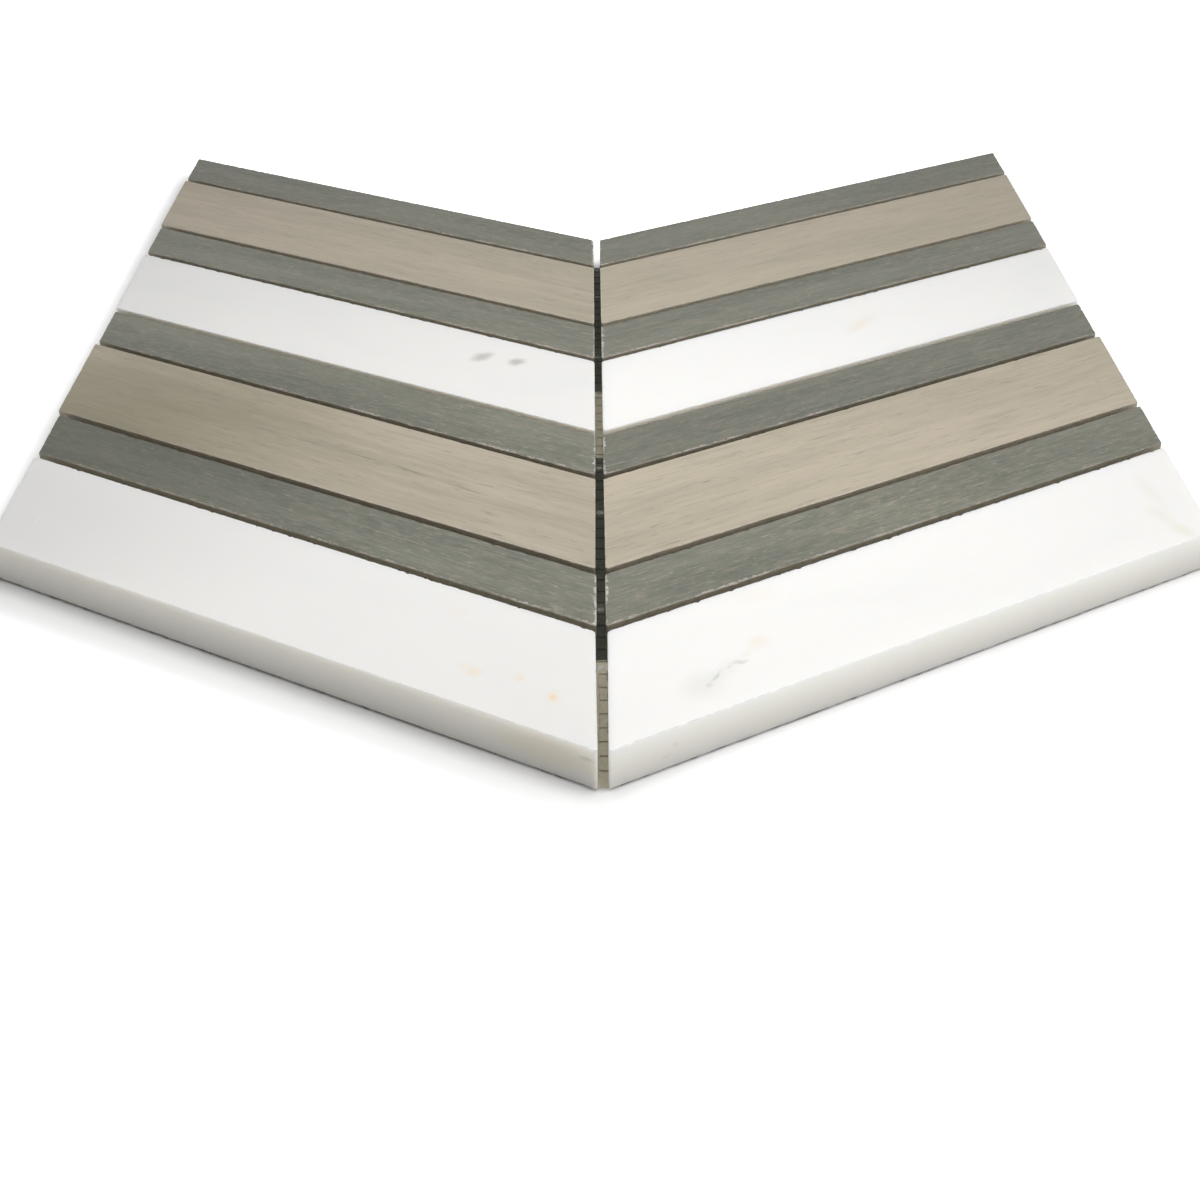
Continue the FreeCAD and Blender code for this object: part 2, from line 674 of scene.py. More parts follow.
# Marks in the white stones, with soft edges: iron specks with a glow round each, a scratch and a shade.
MARBLE_SPOTS = (
    Spot((-10.4, -163.4, TOP), (2.3, 3.6, 3), 0.24, IRON),
    Spot((-10.4, -163.4, TOP), (0.9, 1.5, 3), 0.55, IRON),
    Spot((-17.7, -156.3, TOP), (1.9, 2.3, 3), 0.26, IRON),
    Spot((-27.7, -153.8, TOP), (2.5, 3.0, 3), 0.28, IRON, angle=40),
    Spot((-30.0, -151.5, TOP), (2.2, 2.0, 3), 0.14, IRON),
    Spot((-33.0, -130.1, TOP), (4.0, 3.0, 3), 0.08, IRON),
    Spot((-139.1, -86.0, TOP), (4.8, 0.35, 3), 0.60, SCRATCH, angle=84),
    shade((-148.0, -80.0, TOP), (110, 70, 5), MARBLE_SHADE),
)

# Marks with uneven edges: grey veins in a soft halo, stains, and a smudge and spots on the front walls.
MARBLE_MARKS = (
    Spot((21.4, -159.6, TOP), (8.5, 6.5, 9), 0.38, HALO, angle=55),
    Spot((26.6, -154.0, TOP), (8.5, 3.6, 9), 0.25, HALO, angle=48),
    Spot((22.9, -159.5, TOP), (1.3, 1.4, 3), 0.32, VEIN),
    Spot((24.6, -156.3, TOP), (3.6, 0.6, 3), 0.52, VEIN, angle=58),
    Spot((27.8, -152.7, TOP), (1.6, 0.7, 3), 0.26, VEIN, angle=45),
    Spot((30.2, -150.9, TOP), (3.2, 0.9, 3), 0.42, VEIN, angle=14),
    Spot((34.6, -143.4, TOP), (5.0, 3.4, 4), 0.34, TAN, angle=62),
    Spot((31.8, -147.6, TOP), (2.6, 1.2, 3), 0.30, TAN, angle=62),
    Spot((35.0, -124.0, TOP), (9.0, 5.0, 6), 0.16, TAN, angle=30),
    Spot((139.0, -77.0, TOP), (14.0, 3.2, 6), 0.24, BEIGE, angle=100),
    Spot((138.2, -88.6, TOP), (7.5, 3.6, 6), 0.30, BEIGE, angle=-64),
    Spot((141.8, -96.2, TOP), (6.5, 3.2, 6), 0.40, BEIGE, angle=-62),
    Spot((-33.7, 6.1, TOP), (5.4, 3.4, 4), 0.74, VEIN, angle=40),
    Spot((-23.5, 2.4, TOP), (4.0, 3.4, 4), 0.74, VEIN, angle=40),
    Spot((79.0, 27.2, TOP), (12.0, 3.5, 6), 0.35, TAN, angle=55),
    Spot((-3.4, -181.2, 7.5), (2.8, 2.4, 0.8), 0.60, SMUDGE),
    Spot((13.2, -175.4, 3.8), (1.8, 1.8, 1.0), 0.35, VEIN),
    Spot((15.1, -174.3, 6.1), (1.4, 1.4, 0.8), 0.35, VEIN),
    shade((-12.0, -176.0, 6.0), (17, 6, 4.4), WALL_STAIN, angle=-30, core=0.3),
)

# How much painted shade dims a white stone's eased edges near the tip and further out, and how painted light
# and painted shade make its walls brighter at the top and darker at the foot, standing in for light that
# comes through the stone.
EDGE_PAINTED_SHADE_TIP = 0.76
EDGE_PAINTED_SHADE_OUTER = 0.90
EDGE_PAINTED_SHADE_SPAN = (20.0, 70.0)
WALL_SHARE = 0.6
WALL_PAINTED_LIGHT_TOP = 1.17
WALL_PAINTED_SHADE_FOOT = 0.90
MARBLE_ROUGHNESS = (0.34, 0.46)


def marble_walls(shader, colour, upright):
    """A white stone's walls: creamier than its top, darker in some joints, with painted light at the top and
    painted shade towards the foot.
    """
    colour = shader.mixed(shader.times(upright, WALL_SHARE), colour, MARBLE_WALL)
    # Walls that face a joint are darker, on all but the first strip of each kind.
    joint_darkened = shader.times(shader.times(upright, joint_wall(shader)), shader.stored("joint_darkening", "Fac"))
    colour = shader.mixed(joint_darkened, colour, JOINT_WALL_DARKENING, "MULTIPLY")
    # Painted light towards the top of the walls and painted shade towards the foot.
    height = shader.part(shader.stored("place"), 2)
    through = shader.step(height, 0.0, STONE_HEIGHT, WALL_PAINTED_SHADE_FOOT - 1, WALL_PAINTED_LIGHT_TOP - 1)
    return shader.toned(colour, shader.plus(1.0, shader.times(upright, through)))


def marble_edges(shader, colour, flat, upright, position):
    """The eased edges of a white stone, with painted shade that makes them a little dimmer than its top."""
    sideways = shader.size(shader.part(position, 0))
    edge_painted_shade = shader.step(sideways, *EDGE_PAINTED_SHADE_SPAN, EDGE_PAINTED_SHADE_TIP, EDGE_PAINTED_SHADE_OUTER)
    # Painted shade on the eased edges, dimmer near the tip than further out.
    eased = shader.times(flat, upright)
    return shader.toned(colour, shader.step(eased, start=0.05, end=0.25, low=1.0, high=edge_painted_shade))


def white_marble():
    """Honed white marble: faint clouds, the marks that its own stones carry, and walls and eased edges with
    painted light and shade.
    """
    shader = new_shader("white_marble")
    clouds = shader.grain((0.012, 0.03, 0.03), detail=4.0, roughness=0.55, distortion=0.6)
    colour = shader.layer(MARBLE_WHITE, MARBLE_CLOUD, clouds, start=0.42, full=0.75, share=0.45)
    position = position_mm(shader)
    colour = marked(shader, colour, position, MARBLE_SPOTS)
    uneven = wobbly(shader, position, fineness=0.45, detail=4.0, reach=(1.8, 1.8, 1.2))
    colour = marked(shader, colour, uneven, MARBLE_MARKS)
    flat = upward(shader)
    upright = shader.minus(1.0, flat)
    colour = marble_walls(shader, colour, upright)
    colour = marble_edges(shader, colour, flat, upright, position)
    speckle = shader.grain((1.4, 1.4, 1.4), detail=3.0, roughness=0.6)
    saw = shader.grain((0.10, 2.0, 3.0), detail=3.0, roughness=0.6)
    return shader.finish(
        colour=shader.toned(colour, shader.stored("tone", "Fac")),
        roughness=shader.step(speckle, *NOISE_SPAN, *MARBLE_ROUGHNESS),
        normal=shader.bump(shader.mixed(flat, saw, speckle), distance=0.03 * MM, strength=0.6),
        specular=0.15,
        subsurface=1.0,
        subsurface_radius=(1.0, 0.95, 0.85),
        subsurface_scale=2.5 * MM,
    )


# The scuffs on the dark stones, where the pale band along a front edge is partly a painted highlight of the
# eased edge:
# how far under the top they begin and are full, where those along a front edge fade, from the spine outwards,
# how strong they stay at the outer end, and the narrowest at an inner end.
SCUFF_DEPTH = (0.6, 0.2)
SCUFF_SPAN = (30.0, 110.0)
OUTER_SCUFF = 0.4
NARROW_SCUFF = 0.2


def edge_scuff(shader, colour, front, inner):
    """Pale, broken scuffs on top, along a strip's front edge and inner end, each of a colour and width. The
    front band is partly a painted highlight.
    """
    place = shader.stored("place")
    from_spine = shader.part(place, 0)
    from_front = shader.part(place, 1)
    deepest, full = SCUFF_DEPTH
    on_top = shader.step(shader.part(place, 2), STONE_HEIGHT - deepest, STONE_HEIGHT - full)
    ragged = shader.grain((0.9, 0.7, 0.7), detail=4.0, roughness=0.75)
    patch = shader.grain((0.10, 0.02, 0.02), detail=3.0, roughness=0.65)
    worn = shader.grain((0.1, 0.16, 0.1), detail=2.0, shift=(9, 31, 3))

    # Along the front edge: scuffs together with a painted highlight of the eased edge.
    reach = shader.step(ragged, start=0.36, end=0.72, high=front["width"])
    share = shader.times(shader.step(patch, start=0.38, end=0.60, low=0.12, high=0.90), on_top)
    share = shader.times(share, shader.step(from_spine, *SCUFF_SPAN, low=1.0, high=OUTER_SCUFF))
    scuff = shader.times(shader.step(shader.minus(from_front, reach), start=0.26, end=-0.05), share)
    colour = shader.mixed(scuff, colour, front["colour"])

    narrowest = NARROW_SCUFF * inner["width"]
    widest = shader.step(worn, start=0.40, end=0.62, low=narrowest, high=inner["width"])
    reach = shader.step(ragged, start=0.38, end=0.70, high=widest)
    share = shader.times(shader.step(worn, start=0.36, end=0.58, low=0.35, high=0.90), on_top)
    scuff = shader.times(shader.step(shader.minus(from_spine, reach), start=0.30, end=-0.10), share)
    return shader.mixed(scuff, colour, inner["colour"])


# Grey stone

GREY_DARK = rgb(0.122, 0.130, 0.102)
GREY_PALE = rgb(0.176, 0.181, 0.144)
GREY_MOTTLE = rgb(0.236, 0.206, 0.166)
GREY_DARK_STREAK = rgb(0.078, 0.084, 0.063)
GREY_PALE_STREAK = rgb(0.298, 0.272, 0.227)
GREY_SPECK = rgb(0.40, 0.352, 0.291)
GREY_END_WALL = rgb(0.162, 0.153, 0.124)
GREY_JOINT_WALL_PAINTED_LIGHT = rgb(0.278, 0.252, 0.190)
# The front-edge scuff colour is partly a painted highlight.
GREY_FRONT_SCUFF_AND_HIGHLIGHT = {"colour": rgb(0.46, 0.41, 0.36), "width": 0.8}
GREY_INNER_SCUFF = {"colour": rgb(0.56, 0.53, 0.48), "width": 1.0}
GREY_ROUGHNESS = (0.48, 0.62)
DARK_STONE_SPECULAR = 0.35

# The shade at the outer end of the near left grey strip, and the pale length of the near right one.
GREY_MARKS = (
    shade((-145.0, -52.0, TOP), (140, 100, 60), rgb(0.56, 0.575, 0.55)),
    shade((76.0, -83.3, TOP), (42, 25, 5), rgb(1.18, 1.155, 1.14), angle=30),
)


def grey_stone():
    """Dark grey stone: mottled cool and warm, with streaks, pale dashes, scuffed edges with a painted
    highlight along the front, and joint walls with painted light.
    """
    shader = new_shader("grey_stone")
    broad = shader.grain((0.014, 0.12, 0.12), detail=3.0, roughness=0.6)
    mottle = shader.grain((0.26, 0.50, 0.50), detail=4.0, roughness=0.70, distortion=0.3, shift=(71, 13, 5))
    fine = shader.grain((0.12, 1.5, 1.5), detail=4.0, roughness=0.74, distortion=0.3)
    specks = shader.grain((0.40, 2.0, 2.0), detail=2.0, shift=(17, 53, 9))
    colour = shader.layer(GREY_DARK, GREY_PALE, broad, *NOISE_SPAN)
    colour = shader.layer(colour, GREY_MOTTLE, mottle, start=0.44, full=0.70, share=0.55)
    colour = shader.layer(colour, GREY_DARK_STREAK, fine, start=0.50, full=0.26, share=0.80)
    colour = shader.layer(colour, GREY_PALE_STREAK, fine, start=0.50, full=0.74, share=0.80)
    colour = shader.layer(colour, GREY_SPECK, specks, start=0.62, full=0.76, share=0.55)
    colour = marked(shader, colour, position_mm(shader), GREY_MARKS)
    wall = sawn_wall(shader, GREY_END_WALL, GREY_JOINT_WALL_PAINTED_LIGHT)
    colour = shader.mixed(upward(shader), wall, colour)
    colour = edge_scuff(shader, colour, GREY_FRONT_SCUFF_AND_HIGHLIGHT, GREY_INNER_SCUFF)
    return shader.finish(
        colour=shader.toned(colour, shader.stored("tone", "Fac")),
        roughness=shader.step(fine, *NOISE_SPAN, *GREY_ROUGHNESS),
        normal=shader.bump(fine, distance=0.06 * MM, strength=0.5),
        specular=DARK_STONE_SPECULAR,
    )


# Taupe stone

TAUPE_DARK = rgb(0.385, 0.342, 0.262)
TAUPE_PALE = rgb(0.460, 0.402, 0.315)
TAUPE_DARK_MOTTLE = rgb(0.330, 0.305, 0.228)
TAUPE_PALE_MOTTLE = rgb(0.505, 0.430, 0.340)
TAUPE_DARK_STREAK = rgb(0.305, 0.278, 0.212)
TAUPE_PALE_STREAK = rgb(0.550, 0.480, 0.385)
TAUPE_DASH = rgb(0.215, 0.205, 0.155)
TAUPE_VEIN = rgb(0.215, 0.212, 0.160)
TAUPE_SHADE = rgb(0.64, 0.64, 0.58)
TAUPE_END_WALL = rgb(0.300, 0.262, 0.203)
TAUPE_JOINT_WALL_PAINTED_LIGHT = rgb(0.390, 0.343, 0.265)
# The taupe scuff colour; along the front edge it is partly a painted highlight.
TAUPE_SCUFF_AND_HIGHLIGHT = rgb(0.58, 0.53, 0.44)
TAUPE_FRONT_SCUFF_AND_HIGHLIGHT = {"colour": TAUPE_SCUFF_AND_HIGHLIGHT, "width": 0.35}
TAUPE_INNER_SCUFF = {"colour": TAUPE_SCUFF_AND_HIGHLIGHT, "width": 0.5}
TAUPE_ROUGHNESS = (0.46, 0.58)

# The shade at the outer end of the near left taupe strip, and the dark vein that runs along it, in lengths.
TAUPE_MARKS = (
    shade((-140.0, -34.0, TOP), (105, 65, 60), TAUPE_SHADE),
    Spot((-89.5, -39.2, TOP), (9.0, 0.7, 2), 0.60, TAUPE_VEIN, angle=-30),
    Spot((-77.5, -46.4, TOP), (11.5, 0.7, 2), 0.65, TAUPE_VEIN, angle=-31),
    Spot((-62.5, -54.5, TOP), (11.5, 0.7, 2), 0.65, TAUPE_VEIN, angle=-31),
    Spot((-49.0, -63.0, TOP), (9.0, 0.8, 2), 0.75, TAUPE_VEIN, angle=-34),
    Spot((-34.5, -72.6, TOP), (10.0, 0.6, 2), 0.55, TAUPE_VEIN, angle=-33),
)


def taupe_stone():
    """Taupe stone, grained like wood: soft streaks and thin dark dashes along the strip."""
    shader = new_shader("taupe_stone")
    broad = shader.grain((0.009, 0.08, 0.08), detail=3.0, roughness=0.6)
    mottle = shader.grain((0.05, 0.42, 0.42), detail=3.0, roughness=0.62, distortion=0.2, shift=(23, 67, 4))
    fine = shader.grain((0.07, 1.3, 1.3), detail=4.0, roughness=0.70, distortion=0.15)
    dashes = shader.grain((0.15, 2.2, 2.2), detail=2.0, shift=(41, 19, 2))
    colour = shader.layer(TAUPE_DARK, TAUPE_PALE, broad, *NOISE_SPAN)
    colour = shader.layer(colour, TAUPE_DARK_MOTTLE, mottle, start=0.52, full=0.30, share=0.42)
    colour = shader.layer(colour, TAUPE_PALE_MOTTLE, mottle, start=0.52, full=0.72, share=0.40)
    colour = shader.layer(colour, TAUPE_DARK_STREAK, fine, start=0.50, full=0.28, share=0.50)
    colour = shader.layer(colour, TAUPE_PALE_STREAK, fine, start=0.52, full=0.76, share=0.45)
    colour = shader.layer(colour, TAUPE_DASH, dashes, start=0.38, full=0.27, share=0.65)
    uneven = wobbly(shader, position_mm(shader), fineness=0.30, detail=3.0, reach=(1.6, 1.6, 0.0))
    colour = marked(shader, colour, uneven, TAUPE_MARKS)
    wall = sawn_wall(shader, TAUPE_END_WALL, TAUPE_JOINT_WALL_PAINTED_LIGHT)
    colour = shader.mixed(upward(shader), wall, colour)
    colour = edge_scuff(shader, colour, TAUPE_FRONT_SCUFF_AND_HIGHLIGHT, TAUPE_INNER_SCUFF)
    return shader.finish(
        colour=shader.toned(colour, shader.stored("tone", "Fac")),
        roughness=shader.step(fine, *NOISE_SPAN, *TAUPE_ROUGHNESS),
        normal=shader.bump(fine, distance=0.05 * MM, strength=0.5),
        specular=DARK_STONE_SPECULAR,
    )


def dress_strips():
    """Makes every stone with its material. A stone's number, by name, picks its random draws."""
    materials = {"white_marble": white_marble(), "grey_stone": grey_stone(), "taupe_stone": taupe_stone()}
    names = [name for name in sorted(frame["nodes"]) if "_strip_" in name]
    for number, node in enumerate(names):
        piece = stone_strip(node, number)
        piece.data.materials.append(materials[finish_of(node)["slot"]])


# The net under the stones

# How threads, bedding and films are textured: lumps for each millimetre, their detail, and their relief.
FIBRE_LOOK = {
    "scale": (3.0, 3.0, 6.0),
    "detail": 3.0,
    "unevenness": 0.7,
    "roughness": (0.6, 0.8),
    "relief": 0.08,
    "strength": 0.7,
}
BEDDING_LOOK = {
    "scale": (0.5, 0.5, 0.5),
    "detail": 4.0,
    "unevenness": 0.6,
    "roughness": (0.5, 0.7),
    "relief": 0.2,
    "strength": 0.7,
}
FILM_LOOK = {
    "scale": (1.1, 0.7, 1.0),
    "detail": 3.0,
    "unevenness": 0.6,
    "roughness": (0.55, 0.75),
    "relief": 0.2,
    "strength": 0.6,
}

# The net's materials, each with its texture and its dark and pale colour.
NET_MATERIALS = {
    "net_fibre": (FIBRE_LOOK, rgb(0.27, 0.235, 0.18), rgb(0.45, 0.405, 0.315)),
    "bedding_adhesive": (BEDDING_LOOK, rgb(0.16, 0.145, 0.115), rgb(0.26, 0.24, 0.195)),
    # Lit and shaded copies of one film: painted light beside the white stones, painted shade beside the dark
    # ones.
    "joint_film_painted_light": (FILM_LOOK, rgb(0.585, 0.55, 0.415), rgb(0.695, 0.65, 0.51)),
    "joint_film_painted_shade": (FILM_LOOK, rgb(0.070, 0.073, 0.051), rgb(0.127, 0.131, 0.100)),
    # One glue in two copies: painted light on the bead by the white stones, painted shade on the rest.
    "glue_bead_painted_light": (FILM_LOOK, rgb(0.58, 0.58, 0.54), rgb(0.80, 0.80, 0.75)),
    # The same fibre with painted shade, for the wefts over the shaded film.
    "fibre_painted_shade": (FIBRE_LOOK, rgb(0.035, 0.034, 0.026), rgb(0.070, 0.067, 0.052)),
    "brown_joint_film": (FILM_LOOK, rgb(0.105, 0.098, 0.076), rgb(0.175, 0.165, 0.130)),
    "glue_bead_painted_shade": (FILM_LOOK, rgb(0.20, 0.197, 0.17), rgb(0.40, 0.395, 0.35)),
}


def lumpy_material(name, look, dark, pale):
    """A rough material in two colours, in lumps."""
    shader = new_shader(name)
    place = shader.stretched(position_mm(shader), look["scale"])
    lumps = shader.noise(place, look["detail"], look["unevenness"])
    return shader.finish(
        colour=shader.layer(dark, pale, lumps, *NOISE_SPAN),
        roughness=shader.step(lumps, *NOISE_SPAN, *look["roughness"]),
        normal=shader.bump(lumps, look["relief"] * MM, look["strength"]),
    )


class JoinedMesh:
    """Shapes joined into one mesh, with the number of each face's material."""

    def __init__(self, materials):
        self.materials = list(materials)
        self.vertices = []
        self.faces = []
        self.kinds = []

    def keep(self, shape, material):
        vertices, faces = shape
        base = sum(len(group) for group in self.vertices)
        self.vertices.append(vertices)
        self.faces.extend([[base + index for index in face] for face in faces])
        self.kinds.extend([self.materials.index(material)] * len(faces))


def thread(points, width, height):
    """Vertices and faces of one flat thread along its points."""
    points = np.asarray(points)
    ways = np.gradient(points, axis=0)
    ways /= np.linalg.norm(ways, axis=1)[:, None]
    level = np.column_stack([-ways[:, 1], ways[:, 0], np.zeros(len(points))])
    level /= np.linalg.norm(level, axis=1)[:, None]
    vertices = []
    for angle in np.arange(THREAD_SIDES) * 2 * math.pi / THREAD_SIDES:
        offset = level * math.cos(angle) * width / 2 + np.array([0, 0, math.sin(angle) * height / 2])
        vertices.append(points + offset)
    vertices = np.stack(vertices, axis=1).reshape(-1, 3)
    return vertices, closed_rings(THREAD_SIDES, len(points))


def wandering(rng, start, end, place, level):
    """Points from start to end that wander about a place: how far along, how far across, and how high."""
    along = np.arange(start, end, THREAD_STEP)
    across = place + THREAD_WANDER * rng.standard_normal(len(along))
    return along, across, np.full(len(along), level)


def lay_warps(net, rng):
    """The threads that run along the tile."""
    half_width, tip, back_tip, slope = net_outline()
    rows = np.arange(math.floor(2 * half_width / NET_PITCH) + 1) * NET_PITCH
    for x in rows - rows.mean():
        front = tip + slope * abs(x) + rng.uniform(*WARP_FRONT)
        back = back_tip + slope * abs(x) + rng.uniform(*WARP_BACK)
        ys, xs, zs = wandering(rng, front, back, x, WARP_LEVEL)
        net.keep(thread(np.column_stack([xs, ys, zs]), THREAD_WIDTH, THREAD_HEIGHT), "net_fibre")


def lay_wefts(net, rng):
    """The threads that run across the tile, over the others, darker with painted shade where the spine's film
    has painted shade.
    """
    half_width, tip, back_tip, slope = net_outline()
    films_painted_light = [(front, back) for front, back, film in spine_films() if film == "joint_film_painted_light"]
    for y in np.arange(tip + FIRST_WEFT, back_tip + slope * half_width, NET_PITCH):
        reach = min(half_width, (y - tip) / slope)
        notch = max(0.0, (y - back_tip) / slope)
        spans = [(-reach, reach)] if notch == 0 else [(-reach, -notch), (notch, reach)]
        on_painted_light = any(front < y < back for front, back in films_painted_light)
        for start, end in spans:
            if end - start < NET_PITCH:
                continue
            xs, ys, zs = wandering(rng, start + rng.uniform(*WEFT_START), end, y, WEFT_LEVEL)
            shape = thread(np.column_stack([xs, ys, zs]), THREAD_WIDTH, THREAD_HEIGHT)
            net.keep(shape, "net_fibre" if on_painted_light else "fibre_painted_shade")


def adhesive_bed(node, rng):
    """A thin bed under one stone with an uneven edge."""
    corners = plan_corners(node)
    mirror = column_side(corners)
    outline, normals, _, _ = rounded_outline(corners * (mirror, 1), (BED_RADIUS,) * 4, BED_STEP)
    count = len(outline)
    margin = BED_MARGIN + BED_SWING * rng.uniform(-1, 1, count)
    edge = outline - normals * margin[:, None]
    edge[:, 0] *= mirror
    rings = [np.column_stack([edge, np.full(count, level)]) for level in (FILM_TOP, NET_TOP)]
    return np.concatenate(rings), closed_rings(count, len(rings), mirror)


def adhesive_bead(node, rng):
    """A flat lump of adhesive in the spine, at the joint in front of one stone."""
    corners = plan_corners(node)
    half_sizes = np.array([corners[0, 0], rng.uniform(*BEAD_HALF_LENGTH), BEAD_HEIGHT])
    centre = np.array([0, corners[0, 1] - half_joint() - BEAD_SHIFT, FILM_TOP])
    turns = np.arange(BEAD_SIDES) * 2 * math.pi / BEAD_SIDES
    lumps = rng.uniform(*BEAD_LUMPS, BEAD_SIDES)
    plan = np.column_stack([np.cos(turns), np.sin(turns) * lumps])
    rings = []
    for rise in np.linspace(0, math.pi / 2, BEAD_RINGS, endpoint=False):
        ring = np.column_stack([plan * math.cos(rise), np.full(BEAD_SIDES, math.sin(rise))])
        rings.append(centre + ring * half_sizes)
    vertices = np.concatenate(rings + [[centre + (0, 0, BEAD_HEIGHT)]])
    top = BEAD_RINGS * BEAD_SIDES
    last = top - BEAD_SIDES
    bottom = list(reversed(range(BEAD_SIDES)))
    tips = [[last + side, last + (side + 1) % BEAD_SIDES, top] for side in range(BEAD_SIDES)]
    return vertices, [bottom] + ring_walls(BEAD_SIDES, BEAD_RINGS) + tips


def lay_adhesive(net, rng):
    """A bed under each stone, and a bead in the spine at each joint. The nearest bead has painted light, the
    others painted shade.
    """
    for node in sorted(frame["nodes"]):
        if "_strip_" in node:
            net.keep(adhesive_bed(node, rng), "bedding_adhesive")
        if "_strip_right_" in node and node != TIP_STRIP:
            # Painted light on the bead beside the white stones, and painted shade on the others.
            material = "glue_bead_painted_light" if node == NEXT_STRIP else "glue_bead_painted_shade"
            net.keep(adhesive_bead(node, rng), material)


def spine_films():
    """The films in the spine, from the tip backwards: where each starts and ends, and its material."""
    strips = column_strips("right")
    done = plan_corners(strips[0])[0, 1] + FILM_START
    films = []
    for node, (start, end) in FILM_PAINTED_LIGHT_ENDS.items():
        corners = plan_corners(node)
        # The film has painted light beside the white stones and painted shade elsewhere.
        lit_film_start = corners[0, 1] + start
        lit_film_end = corners[3, 1] + end
        if lit_film_start > done:
            films.append((done, lit_film_start, "joint_film_painted_shade"))
        films.append((lit_film_start, lit_film_end, "joint_film_painted_light"))
        done = lit_film_end
    films.append((done, plan_corners(strips[-1])[3, 1] + half_joint(), "joint_film_painted_shade"))
    return films


def spine_film(front, back):
    """One film in the spine, reaching under the stones on both sides."""
    lap = FILM_LAP + plan_corners(TIP_STRIP)[0, 0]
    return slab([(-lap, front), (lap, front), (lap, back), (-lap, back)], FILM_LEVEL, FILM_TOP)


def spine_fillet(front, back, rng):
    """The ridge of adhesive along the foot of the left stones, over the net's threads."""
    ys, xs, zs = wandering(rng, front, back, FILLET_PLACE, NET_TOP - FILLET_HEIGHT / 2)
    return thread(np.column_stack([xs, ys, zs]), FILLET_WIDTH, FILLET_HEIGHT)


def rake_film(before, behind):
    """The film in the raked joint between two neighbours, from the spine's film to near their outer ends."""
    front_strip = plan_corners(before)
    back_strip = plan_corners(behind)
    side = column_side(front_strip)
    run, rise = front_strip[2] - front_strip[3]
    inner = side * FILM_LAP + front_strip[3, 0]
    outer = front_strip[2, 0] - side * FILM_END
    xs = np.array([inner, outer])
    fronts = front_strip[3, 1] + (xs - front_strip[3, 0]) * rise / run - FILM_LAP
    backs = back_strip[0, 1] + (xs - back_strip[0, 0]) * rise / run + FILM_LAP
    plan = [(inner, fronts[0]), (outer, fronts[1]), (outer, backs[1]), (inner, backs[0])]
    return slab(plan if side > 0 else plan[::-1], FILM_LEVEL, FILM_TOP)


def lay_films(net, rng):
    """The films in the spine and in the raked joints, and the fillets on the spine films with painted light.
    """
    for front, back, film in spine_films():
        net.keep(spine_film(front, back), film)
        if film == "joint_film_painted_light":
            net.keep(spine_fillet(front, back, rng), film)
    for side in ("left", "right"):
        strips = column_strips(side)
        for before, behind in zip(strips, strips[1:]):
            net.keep(rake_film(before, behind), "brown_joint_film")


def backing_net():
    """Threads both ways, a bed of adhesive under each stone and films in the joints, as one piece."""
    rng = np.random.default_rng([SEED, NET_SEED])
    net = JoinedMesh(NET_MATERIALS)
    lay_warps(net, rng)
    lay_wefts(net, rng)
    lay_adhesive(net, rng)
    lay_films(net, rng)
    piece = new_object("backing_net_fibre", np.concatenate(net.vertices), net.faces)
    for name, (look, dark, pale) in NET_MATERIALS.items():
        piece.data.materials.append(lumpy_material(name, look, dark, pale))
    piece.data.polygons.foreach_set("material_index", net.kinds)
    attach(piece, "root")
    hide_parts("backing_net")


# The studio

# The floor's reach each way, its colour, how white it is to the eye at the tile's left and right edges,
# where it turns from one to the other, how softly that starts, and how far away it is plain white.
FLOOR_REACH = 4000.0
FLOOR_WHITE = rgb(0.90, 0.90, 0.90)
EDGE_GLOW = (0.0, 0.19)
GLOW_TURN = (-40.0, 40.0)
EDGE_BLUR = (-1.0, 1.0)
FRONT_FADE = (7.0, 26.0)
SIDE_FADE = (1.0, 22.0)

# How bright the surroundings are as a light.
ROOM_WHITE = rgb(1, 1, 1)
ROOM_LIGHT = 0.24


def floor_glow(shader):
    """How white the floor is to the eye: plain white away from the tile, and less at its edges."""
    half_width, tip, back_tip, slope = net_outline()
    # What turns a length along Y into one square to a raked edge.
    squared = math.cos(math.atan(slope))
    position = position_mm(shader)
    sideways = shader.size(shader.part(position, 0))
    along = shader.minus(shader.part(position, 1), shader.times(sideways, slope))
    before = shader.times(shader.minus(tip, along), squared)
    behind = shader.times(shader.minus(along, back_tip), squared)
    beside = shader.minus(sideways, half_width)
    away = shader.larger(shader.larger(before, behind), beside)
    side = shader.step(shader.part(position, 0), *GLOW_TURN, *EDGE_GLOW)
    edge = shader.times(shader.step(away, *EDGE_BLUR), side)
    outside = shader.larger(beside, 0.0)
    in_front = shader.step(shader.length(shader.joined(shader.larger(before, 0.0), outside)), *FRONT_FADE)
    around = shader.step(shader.length(shader.joined(shader.larger(behind, 0.0), outside)), *SIDE_FADE)
    either = shader.minus(shader.plus(in_front, around), shader.times(in_front, around))
    return shader.reckoned("MINIMUM", shader.plus(edge, either), 1.0)


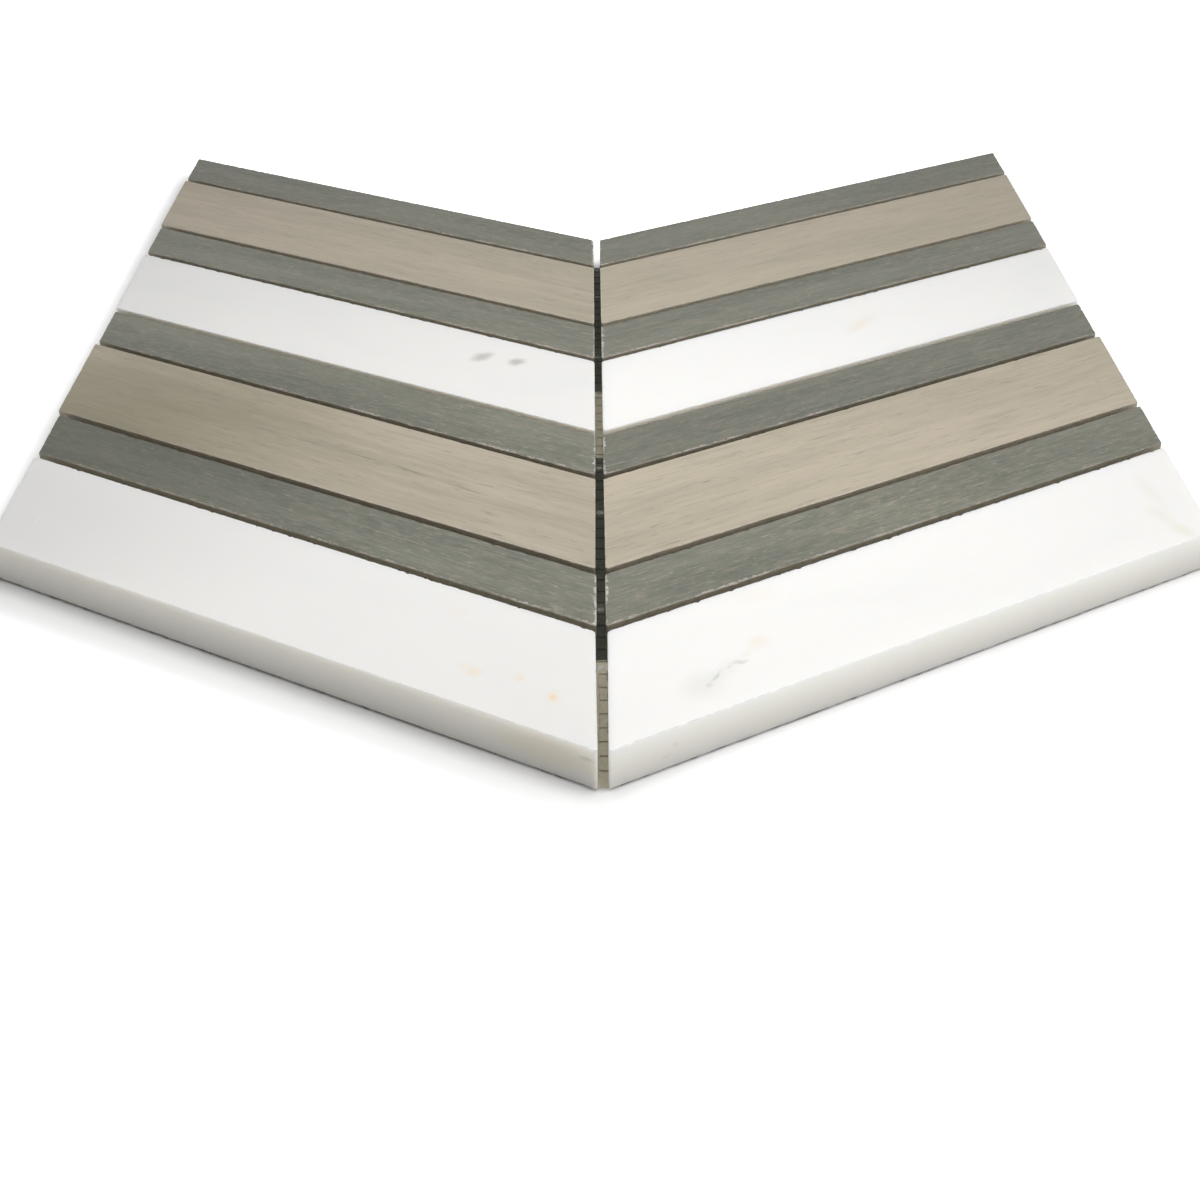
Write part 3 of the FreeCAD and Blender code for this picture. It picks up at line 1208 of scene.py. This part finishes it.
def floor_white():
    """Matt white that keeps the tile's shadow near it, under a glow that only the eye sees."""
    shader = new_shader("floor_white")
    glow = shader.add("ShaderNodeEmission", {"Strength": shader.times(shader.seen(), floor_glow(shader))})
    matt = shader.add("ShaderNodeBsdfDiffuse", {"Color": FLOOR_WHITE})
    glowing = shader.add("ShaderNodeAddShader", {0: glow.outputs[0], 1: matt.outputs[0]})
    shader.put(shader.tree.nodes["Material Output"].inputs["Surface"], glowing.outputs[0])
    shader.tree.nodes.remove(shader.surface)
    return shader.owner


def floor():
    signs = ((-1, -1), (1, -1), (1, 1), (-1, 1))
    corners = [(x * FLOOR_REACH, y * FLOOR_REACH, 0) for x, y in signs]
    plane = new_object("floor", corners, [(0, 1, 2, 3)])
    plane.data.materials.append(floor_white())


def lamp(name, place, target, size, power):
    """A soft oblong lamp that looks at a target."""
    light = bpy.data.lights.new(name, "AREA")
    light.shape = "RECTANGLE"
    light.size = size[0] * MM
    light.size_y = size[1] * MM
    light.energy = power
    holder = bpy.data.objects.new(name, light)
    holder.location = [length * MM for length in place]
    holder.rotation_euler = (Vector(target) - Vector(place)).to_track_quat("-Z", "Y").to_euler()
    bpy.context.scene.collection.objects.link(holder)


def world():
    """Soft white surroundings: plain white to the eye, dimmer as a light."""
    shader = Shader(bpy.data.worlds.new("studio"), "Background")
    bpy.context.scene.world = shader.owner
    shader.put(shader.surface.inputs["Color"], ROOM_WHITE)
    shader.put(shader.surface.inputs["Strength"], shader.larger(shader.seen(), ROOM_LIGHT))


def camera():
    data = bpy.data.cameras.new("camera")
    data.sensor_width = SENSOR_WIDTH
    data.lens = CAMERA_LENS
    data.clip_start = CAMERA_NEAREST * MM
    holder = bpy.data.objects.new("camera", data)
    turn = Matrix.Rotation(-CAMERA_YAW, 4, "Z") @ Matrix.Rotation(math.pi / 2 - CAMERA_PITCH, 4, "X")
    turn = turn @ Matrix.Rotation(CAMERA_ROLL, 4, "Z")
    holder.matrix_world = Matrix.Translation(Vector(CAMERA_PLACE) * MM) @ turn
    bpy.context.scene.collection.objects.link(holder)
    bpy.context.scene.camera = holder


dress_strips()
backing_net()
floor()
for lamp_name, lamp_values in LAMPS.items():
    lamp(lamp_name, **lamp_values)
world()
camera()
bpy.context.scene.view_settings.view_transform = "Standard"
